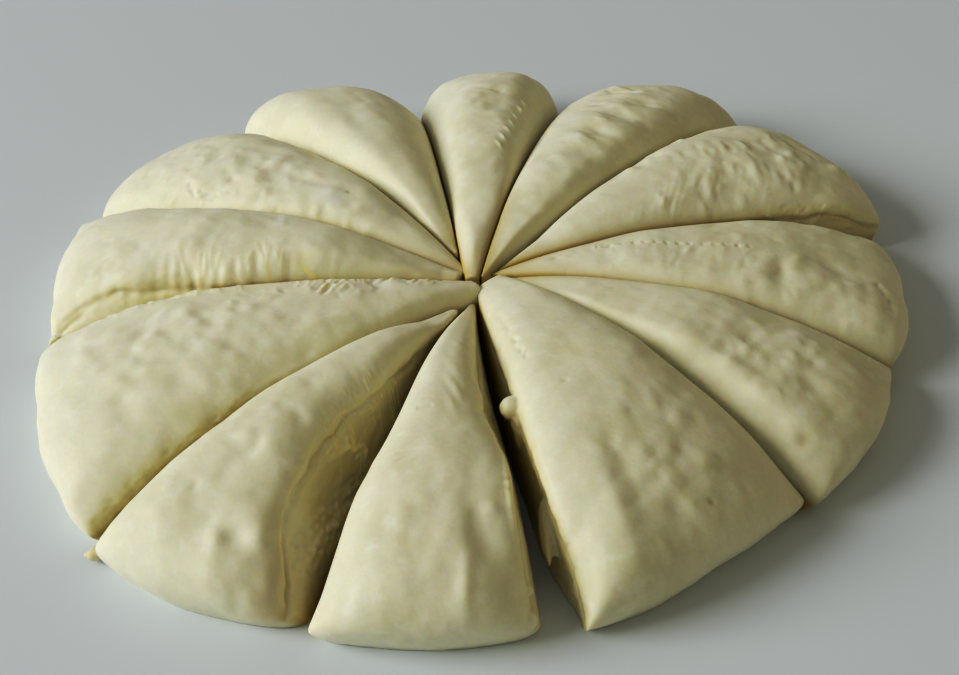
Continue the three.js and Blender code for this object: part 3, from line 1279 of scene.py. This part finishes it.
@dataclass
class DoughRound:
    """The whole round: cuts and wedges, clockwise from the far side."""

    cuts: tuple[Cut, ...] = (
        Cut.closed(97.7, 4.1, (0, 30), (25, 29), (50, 27.5), (80, 23), (100, 19.5), (125, 12), (143, 5)),
        Cut.closed(77, 0, (0, 29), (15, 32.5), (37, 34), (51, 32.5), (88, 24.5), (125, 12.5), (147, 5)),
        Cut.closed(51, 0, (0, 23), (23, 25), (45, 29), (65, 30.5), (93, 27.5), (133, 19), (158, 5)),
        Cut(
            20.5, 4.5,
            CutFace(Profile(((0, 28), (24, 31), (60, 32), (91, 27.5), (107, 24), (132, 12.5), (148, 5)))),
            CutFace(
                Profile(((0, 28), (24, 31), (60, 31.5), (91, 28), (110, 26), (140, 21), (156, 10))),
                torn=Profile(((98, 0), (112, 0.5))),
            ),
        ),
        Cut(
            -10, 6,
            CutFace(Profile(((0, 27), (20, 30.5), (35, 32), (78, 31), (90, 26.5), (113, 18), (138, 6)))),
            CutFace(Profile(((0, 27), (20, 30), (35, 31), (78, 29), (90, 25), (113, 16.5), (138, 5)))),
        ),
        Cut(
            -42.5, 9.5,
            CutFace(Profile(((0, 28), (19, 30), (53, 30), (61, 28.5), (93, 21), (110, 14), (125, 4)))),
            CutFace(Profile(((0, 28), (19, 28.5), (53, 25), (77, 19), (93, 14), (110, 9), (125, 4)))),
        ),
        Cut(
            -80, -1.5,
            CutFace(
                Profile(((0, 26), (30, 30), (54, 33), (107, 31), (115, 27), (122, 22), (132, 5))),
                back=Profile(((80, 0), (101, 1.2), (130, 2.4))),
                lean=Profile(
                    ((5, 0), (35, 5), (53, 8.6), (76, 8.2), (86, 5.6), (101, 5), (122, 5.4), (132, 3))
                ),
                bulge=2.0,
                torn=Profile(((20, 0), (50, 0.2), (110, 0.2), (122, 0.1))),
            ),
            CutFace(
                Profile(((0, 28), (30, 30), (91, 31), (102, 29), (110, 26), (118, 22), (132, 4))),
                back=Profile(((30, 0), (62, 1.2), (84, 2.6), (110, 3.8), (118, 5), (133, 8.8))),
                lean=Profile(((30, 0), (62, -0.6), (84, -1.2), (102, -1), (118, 0), (126, 1.5), (133, 0))),
                torn=Profile(((20, 0), (60, 0.35), (130, 0.4))),
            ),
        ),
        Cut(
            -110.8, 0,
            CutFace(
                Profile(((0, 29), (54, 33), (82, 33), (109, 30), (123, 27), (132, 20), (141, 4))),
                back=Profile(((20, 0), (60, 1.2), (85, 3), (110, 2.5), (138, 0.2))),
                lean=Profile(
                    ((25, 0), (54, 3), (68, 3.5), (82, 9), (95, 12), (123, 11), (135, 8), (145, 3))
                ),
                bulge=1.3,
                torn=Profile(((30, 0), (60, 0.35))),
            ),
            CutFace(
                Profile(((0, 22), (18, 27), (35, 31), (55, 33), (86, 29), (102, 27), (114, 19), (134, 5))),
                lean=Profile(
                    ((30, 0), (65, 1.9), (78, 2.8), (97, 2.4), (107, 1.2), (125, 1.6), (140, 1.8))
                ),
            ),
        ),
        Cut(
            -141, 6,
            CutFace(
                Profile(((0, 24), (20, 27.5), (50, 30), (90, 29), (120, 20), (150, 5))),
                back=Profile(((20, 0), (60, 0.9), (150, 3))),
                lean=Profile(((0, 0), (150, 2))),
                torn=Profile(((60, 0), (90, 0.5))),
            ),
            CutFace(
                Profile(((0, 23), (20, 27), (37, 31), (55, 33), (90, 31), (120, 22), (153, 5))),
                back=Profile(((30, 0), (150, 1))),
                torn=Profile(((60, 0), (90, 0.5))),
            ),
        ),
        Cut(
            -177.2, 0,
            CutFace(
                Profile(((0, 29), (50, 30), (85, 30.5), (100, 29), (121, 27.5), (137, 18), (146, 6))),
                lean=Profile(((84, 0), (100, 5), (137, 5), (148, 2))),
                bulge=4.0,
                torn=Profile(((80, 0), (98, 0.2))),
            ),
            CutFace(Profile(((0, 30), (26, 30.5), (52, 30.5), (75, 30), (92, 28), (104, 23), (146, 5)))),
        ),
        Cut(
            -202.5, -4,
            CutFace(Profile(((0, 25), (20, 29), (60, 33), (75, 32), (91, 28.5), (124, 18), (152, 6)))),
            CutFace(Profile(((0, 27), (20, 30.5), (60, 34.5), (75, 34), (91, 30.5), (124, 20), (152, 7)))),
        ),
        Cut(
            -231, -4.5,
            CutFace(Profile(((0, 24), (26, 27), (72, 29), (97, 25), (124, 17.5), (151, 5)))),
            CutFace(Profile(((0, 24), (26, 28), (45, 30), (72, 30.5), (97, 26), (124, 18.5), (152, 6)))),
        ),
    )
    forms: tuple[WedgeForm, ...] = (
        WedgeForm((2, 29), 39, (-0.25, -0.2), (145, 155.5, 143), (1.3, 1.6)),
        WedgeForm((3, 27), 40, (-0.4, -0.2), (166, 158, 144), (1.4, 1.4), 2.15),
        WedgeForm((9.6, 26), 39, (0.0, 0.1), (159, 159, 157), (1.4, 1.6), 2.25),
        WedgeForm((6, 28), 36, (-0.3, -0.3), (139, 147, 150), fullness=1.8),
        WedgeForm((9, 28), 36, (-0.55, -0.45), (133, 136, 139.5), (1.5, 1.8), 1.8),
        WedgeForm((3, 30), 42, (0.3, -0.65), (139, 132, 130), (2.0, 1.6)),
        WedgeForm((9, 27), 40, (-0.2, 0.2), (144, 141.5, 135), (1.7, 1.4)),
        WedgeForm((17, 27), 41, (0, 0), (154, 150, 141), (1.8, 1.5)),
        WedgeForm((2, 31), 38, (0.1, 0.1), (145, 149, 152)),
        WedgeForm((7, 29), 41, (0.3, 0.3), (158, 149, 145), (1.25, 1.6)),
        WedgeForm((8, 27), 40, (0.0, 0.15), (148, 153, 152), (1.25, 1.7)),
        WedgeForm((17.5, 27), 40, (0.5, 0.2), (135, 153, 153), (1.2, 1.6), 2.15),
    )

    def wedges(self) -> list[DoughWedge]:
        """Puts each wedge between its two cuts."""
        found = []
        for index, form in enumerate(self.forms):
            start = self.cuts[(index + 1) % len(self.cuts)]
            if index + 1 == len(self.cuts):
                start = replace(start, angle=start.angle - 360)
            found.append(DoughWedge(index + 1, form, start, self.cuts[index], WEAR[index + 1]))
        return found


@dataclass
class WedgeMaker:
    """Turns wedges into finished pieces.

    Args:
        finish: The material that all wedges share.
        block: The block that they are drawn from.
    """

    finish: bpy.types.Material
    block: bpy.types.Mesh

    def draw_out(self, wedge: DoughWedge) -> bpy.types.Mesh:
        """Draws the block out into the wedge, a little below the ground, and adds its scraps."""
        mesh = self.block.copy()
        points = wedge.place(DoughBlock.places(self.block))
        points[points[:, 2] < 0.01, 2] = -UNDERCUT
        mesh.vertices.foreach_set("co", points.astype(np.float32).ravel())
        mesh.update()
        cells = bmesh.new()
        cells.from_mesh(mesh)
        for scrap in (*wedge.wear.lumps, *wedge.wear.strands):
            scrap.add(cells)
        cells.to_mesh(mesh)
        cells.free()
        return mesh

    def even_out(self, mesh: bpy.types.Mesh) -> bpy.types.Mesh:
        """Remeshes a rough form into even faces and takes its hard edges off."""
        rough = put_in_scene("rough", mesh)
        remesh = rough.modifiers.new("even", "REMESH")
        remesh.mode = "VOXEL"
        remesh.voxel_size = VOXEL
        remesh.adaptivity = 0.0
        remesh.use_smooth_shade = True
        soft = rough.modifiers.new("soft", "SMOOTH")
        soft.factor = 0.5
        soft.iterations = SMOOTHINGS
        seen = rough.evaluated_get(bpy.context.evaluated_depsgraph_get())
        made = bpy.data.meshes.new_from_object(seen)
        bpy.data.objects.remove(rough)
        bpy.data.meshes.remove(mesh)
        return made

    def refine(self, surface: Surface) -> None:
        """Divides the faces where small marks need it."""
        chosen = np.zeros(len(surface.points), bool)
        for mark in surface.wedge.wear.marks:
            chosen |= mark.fine(surface)
        chosen &= surface.normals[:, 2] > -0.2
        if not chosen.any():
            return
        cells = bmesh.new()
        cells.from_mesh(surface.mesh)
        cells.verts.ensure_lookup_table()
        edges = [edge for edge in cells.edges if all(chosen[vert.index] for vert in edge.verts)]
        made = bmesh.ops.subdivide_edges(cells, edges=edges, cuts=1, use_grid_fill=True)
        inner = [part for part in made["geom_inner"] if isinstance(part, bmesh.types.BMVert)]
        bmesh.ops.smooth_vert(
            cells, verts=inner, factor=0.5, use_axis_x=True, use_axis_y=True, use_axis_z=True
        )
        cells.to_mesh(surface.mesh)
        cells.free()
        surface.read()

    def work(self, surface: Surface) -> None:
        """Works the skin like clay."""
        wedge, points = surface.wedge, surface.points
        depth = np.minimum(*(wedge.plane_depth(points, side) for side in CutSide))
        swell = np.zeros(len(points))
        for height, (length, seed) in zip(wedge.wear.swell, SWELLS):
            swell += unrest(points, length, seed + wedge.number) * height
        surface.push(swell * fade(depth, 0.5, 6.0))
        torn = self.cut_mask(surface)
        rows = surface.points * np.array([1.0, 1.0, 1.6])
        tear = sum(height * unrest(rows, length, seed + wedge.number) for height, length, seed in TEARS)
        surface.push(-torn * (0.3 + np.clip(tear, -0.3, 0.7)) - HEM_DEPTH * self.hem_mask(surface))
        total = np.zeros(len(surface.points))
        for mark in wedge.wear.marks:
            total += mark.relief(surface)
        surface.push(total * fade(surface.normals[:, 2], -0.3, 0.15))

    def cut_mask(self, surface: Surface) -> np.ndarray:
        """Tells which points lie on a torn cut face."""
        wedge = surface.wedge
        mask = np.zeros(len(surface.points))
        for side in CutSide:
            cut, face, _ = wedge.sides(side)
            near = 1 - fade(wedge.face_depth(surface.points, side), 0.9, 2.4)
            turned = fade(surface.normals[:, :2] @ heading(cut.angle + 90) * -side.value, 0.4, 0.9)
            torn = face.torn.at(surface.points[:, :2] @ heading(cut.angle))
            mask = np.maximum(mask, near * turned * torn)
        return mask

    @staticmethod
    def at_nearer_face(surface: Surface, values: list[np.ndarray]) -> np.ndarray:
        """Takes for each point the value that belongs to the cut face nearer to it."""
        near = [surface.wedge.face_depth(surface.points, side) for side in CutSide]
        return np.where(near[0] < near[1], *values)

    def hem_mask(self, surface: Surface) -> np.ndarray:
        """Tells which points of a torn face lie right under its skin edge."""
        wedge = surface.wedge
        down = [wedge.below_edge(surface.points, side) for side in CutSide]
        below = self.at_nearer_face(surface, down)
        below += 0.3 * unrest(surface.points, 7.0, HEM_SEED + wedge.number)
        on_face = np.minimum(4 * self.cut_mask(surface), 1)
        return on_face * np.exp(-(((below - HEM_BELOW) / HEM_WIDTH) ** 2))

    def crease_shade_mask(self, surface: Surface) -> np.ndarray:
        """Tells where shade is painted: down in a cut, on the skin beside it, and under a torn edge."""
        wedge = surface.wedge
        # Painted shadow line right under a torn skin edge
        mask = 0.4 * self.hem_mask(surface)
        for side in CutSide:
            cut, face, other = wedge.sides(side)
            out, height = surface.points[:, :2] @ heading(cut.angle), surface.points[:, 2]
            gap = face.stands_back(out, height) + other.stands_back(out, height)
            depth = wedge.plane_depth(surface.points, side)
            below = wedge.below_neighbour(surface.points, side)
            above = 6.0 - 4.5 * np.minimum(4 * face.torn.at(out), 1)
            # Painted shade over the skin near a cut, and a darker painted line at its edge, both weaker
            # where the gap is wide
            shade = (1 - fade(depth, 0.3, SHADE_REACH)) * fade(below + above, 0.0, 4.0 + above)
            line = (1 - fade(depth, 0.3, LINE_REACH)) * fade(below, -4.0, 0.5)
            mask = np.maximum(mask, np.maximum(shade, line) * (1 - 0.6 * fade(gap, 1.5, 5.0)))
        return mask

    def deep_shade_mask(self, surface: Surface) -> np.ndarray:
        """Tells how far down a cut face points lie, for the painted shade there."""
        wedge = surface.wedge
        down = [fade(wedge.below_neighbour(surface.points, side), -8.0, 8.0) for side in CutSide]
        return self.at_nearer_face(surface, down)

    def settle(self, surface: Surface) -> None:
        """Keeps the wedge clear of its neighbours."""
        wedge = surface.wedge
        for side in CutSide:
            cut, _, other = wedge.sides(side)
            out = surface.points[:, :2] @ heading(cut.angle)
            room = other.stands_back(out, surface.points[:, 2] + 3.0)
            limit = HALF_GAP - np.maximum(room - 1.0, 0)
            missing = np.maximum(limit - wedge.plane_depth(surface.points, side), 0)
            surface.points[:, :2] += heading(cut.angle + 90) * (missing * side.value)[:, None]
        surface.write()

    def tint(self, surface: Surface) -> None:
        """Keeps what the finish needs to know about each point."""
        face = self.cut_mask(surface)
        surface.store("cut_face", face)
        # Painted shade low on torn cut faces
        surface.store("deep", np.minimum(2 * face, 1) * self.deep_shade_mask(surface))
        # Painted shade in the cuts and under torn skin edges
        surface.store("crease", self.crease_shade_mask(surface))
        # The pale and brown tints carry painted highlight and painted shade in part
        for tint in Tint:
            total = np.zeros(len(surface.points))
            for mark in surface.wedge.wear.marks:
                if mark.tint is tint:
                    total += mark.stain * np.clip(mark.cover(surface), 0, 1)
            if tint is Tint.MOIST:
                for strand in surface.wedge.wear.strands:
                    total += 0.6 * strand.cover(surface.points)
            surface.store(tint.value, np.clip(total, 0, 1))

    def stand(self, mesh: bpy.types.Mesh) -> None:
        """Cuts the wedge off flat where it stands on the ground and closes its base."""
        cells = bmesh.new()
        cells.from_mesh(mesh)
        parts = [*cells.verts, *cells.edges, *cells.faces]
        bmesh.ops.bisect_plane(
            cells, geom=parts, dist=1e-5, plane_co=(0, 0, 0), plane_no=(0, 0, -1), clear_outer=True
        )
        rim = [edge for edge in cells.edges if edge.is_boundary]
        base = bmesh.ops.holes_fill(cells, edges=rim, sides=0)["faces"]
        bmesh.ops.triangulate(cells, faces=base, quad_method="BEAUTY", ngon_method="BEAUTY")
        bmesh.ops.translate(cells, verts=cells.verts, vec=CROSSING)
        bmesh.ops.scale(cells, verts=cells.verts, vec=(MILLIMETRE,) * 3)
        for face in cells.faces:
            face.smooth = True
        cells.to_mesh(mesh)
        cells.free()

    def build(self, wedge: DoughWedge) -> bpy.types.Object:
        """Makes one finished wedge."""
        mesh = self.even_out(self.draw_out(wedge))
        surface = Surface(mesh, wedge)
        self.refine(surface)
        self.work(surface)
        self.settle(surface)
        self.tint(surface)
        self.stand(mesh)
        mesh.name = wedge.name
        mesh.materials.clear()
        mesh.materials.append(self.finish)
        piece = put_in_scene(wedge.name, mesh)
        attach(piece, "root")
        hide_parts(wedge.node)
        return piece


@dataclass
class Studio:
    """Ground, light and camera.

    Args:
        target: What the camera looks at.
        distance: How far it stands from there.
        elevation: How steeply it looks down.
        lens: Its focal length on a sensor 36 mm wide.
        tones: How bright each brightness is shown.
        ground: The colour of the ground.
        room: The colours of the weak light from the two sides, and its strength.
    """

    target: tuple[float, float, float] = (0.0011, -0.025, 0.020)
    distance: float = 0.620
    elevation: float = 38.3
    lens: float = 71.03
    tones: tuple[Place, ...] = (
        (0.10, 0.047),
        (0.17, 0.10),
        (0.24, 0.18),
        (0.33, 0.295),
        (0.45, 0.44),
        (0.62, 0.62),
    )
    ground: Colour = (0.725, 0.78, 0.82)
    room: tuple[Colour, Colour, float] = ((0.84, 0.87, 0.89), (1.12, 0.97, 0.64), 0.25)

    def stand_camera(self) -> None:
        """Puts the camera where the photograph was taken from."""
        tilt = math.radians(self.elevation)
        back = Vector((0, -math.cos(tilt), math.sin(tilt)))
        camera = bpy.data.cameras.new("camera")
        camera.lens = self.lens
        camera.sensor_width = 36.0
        holder = put_in_scene("camera", camera)
        holder.location = Vector(self.target) + back * self.distance
        holder.rotation_euler = (-back).to_track_quat("-Z", "Y").to_euler()
        bpy.context.scene.camera = holder

    def hang_light(self, name: str, angle: float, elevation: float, size: Place,
                   distance: float, power: float) -> None:
        """Hangs one soft rectangular light that faces the dough."""
        lamp = bpy.data.lights.new(name, "AREA")
        lamp.shape = "RECTANGLE"
        lamp.size, lamp.size_y = size
        lamp.energy = power
        rise = math.radians(elevation)
        flat = heading(angle) * math.cos(rise)
        towards = Vector((flat[0], flat[1], math.sin(rise)))
        holder = put_in_scene(name, lamp)
        holder.location = towards * distance
        holder.rotation_euler = towards.to_track_quat("Z", "Y").to_euler()

    def lay_ground(self) -> None:
        """Lays the plain pale ground that the round rests on."""
        cells = bmesh.new()
        bmesh.ops.create_grid(cells, x_segments=2, y_segments=2, size=3.0)
        mesh = bpy.data.meshes.new("table_top")
        cells.to_mesh(mesh)
        cells.free()
        material = bpy.data.materials.new("pale_table")
        material.use_nodes = True
        shader = material.node_tree.nodes["Principled BSDF"]
        shader.inputs["Base Color"].default_value = (*self.ground, 1)
        shader.inputs["Roughness"].default_value = 0.45
        mesh.materials.append(material)
        put_in_scene("table_top", mesh)

    def light_room(self) -> None:
        """Fills the scene with weak light: cool on the side of the main light, warm on the other."""
        world = bpy.data.worlds.new("room")
        world.use_nodes = True
        sketch = NodeSketch(world.node_tree)
        place = sketch.add("ShaderNodeTexCoord")
        parts = sketch.add("ShaderNodeSeparateXYZ")
        sketch.join(place.outputs["Generated"], parts.inputs["Vector"])
        share = sketch.span(parts.outputs["X"], -0.5, 0.8)
        first, second, strength = self.room
        background = world.node_tree.nodes["Background"]
        sketch.join(sketch.blend(share, first, second), background.inputs["Color"])
        background.inputs["Strength"].default_value = strength
        bpy.context.scene.world = world

    def set_tones(self) -> None:
        """Gives the picture the tones of a camera: deep shade, and lights that keep their colour."""
        view = bpy.context.scene.view_settings
        view.view_transform = "Standard"
        view.use_curve_mapping = True
        curve = view.curve_mapping.curves[3]
        for light, shown in self.tones:
            curve.points.new(light, shown)
        view.curve_mapping.update()

    def build(self) -> None:
        """Sets the whole studio up."""
        self.stand_camera()
        self.lay_ground()
        self.hang_light("window", angle=191, elevation=28, size=(2.4, 1.7), distance=4.0, power=122)
        self.light_room()
        self.set_tones()


def main() -> None:
    """Builds the round and its studio."""
    logging.basicConfig(level=logging.INFO, format="%(message)s")
    Studio().build()
    finish = DoughFinish().build()
    block = DoughBlock().build()
    maker = WedgeMaker(finish, block)
    for wedge in DoughRound().wedges():
        piece = maker.build(wedge)
        count = sum(len(face.vertices) - 2 for face in piece.data.polygons)
        LOG.info("%s: %d triangles", piece.name, count)
    bpy.data.meshes.remove(block)


if __name__ == "__main__":
    main()
